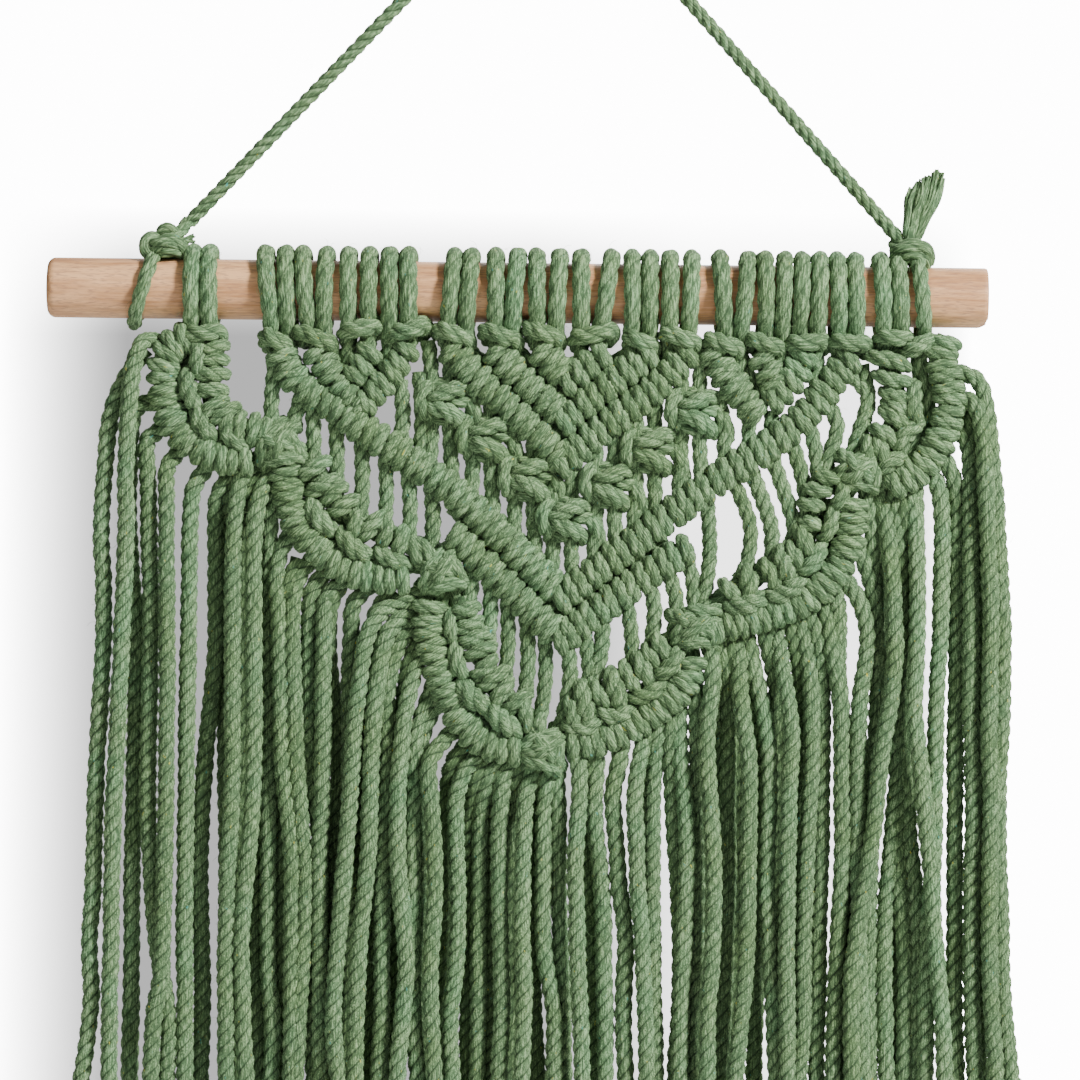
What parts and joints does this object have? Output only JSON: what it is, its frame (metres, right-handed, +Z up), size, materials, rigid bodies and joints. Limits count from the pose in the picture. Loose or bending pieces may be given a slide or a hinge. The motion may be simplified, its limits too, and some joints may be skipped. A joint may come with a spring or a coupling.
{
  "type": "macrame wall hanging on a wooden rod",
  "caption": "Knotted cotton wall hanging on a round wooden rod, with diagonal hitch bars, scallops, a long loose fringe and a hanging cord.",
  "frame": {"origin": "under the bend of the hanging cord, where a nail or hook carries it", "axes": "+X along the rod to the viewer's right, +Y away from the viewer, +Z up"},
  "size_m": [0.2595, 0.0249, 0.3489],
  "materials": {
    "cotton_cord": "matt twisted cotton, mid green, slightly heathered",
    "rod_wood": "smooth sanded pale hardwood, unvarnished"
  },
  "bodies": {
    "root": {"rod": "rod_wood", "hanging_cord": "cotton_cord", "tie_left": "cotton_cord", "tie_right": "cotton_cord", "knotted_panel": "cotton_cord", "fringe_1": "cotton_cord", "fringe_2": "cotton_cord", "fringe_3": "cotton_cord", "fringe_4": "cotton_cord", "fringe_5": "cotton_cord", "fringe_6": "cotton_cord"}
  },
  "joints": []
}
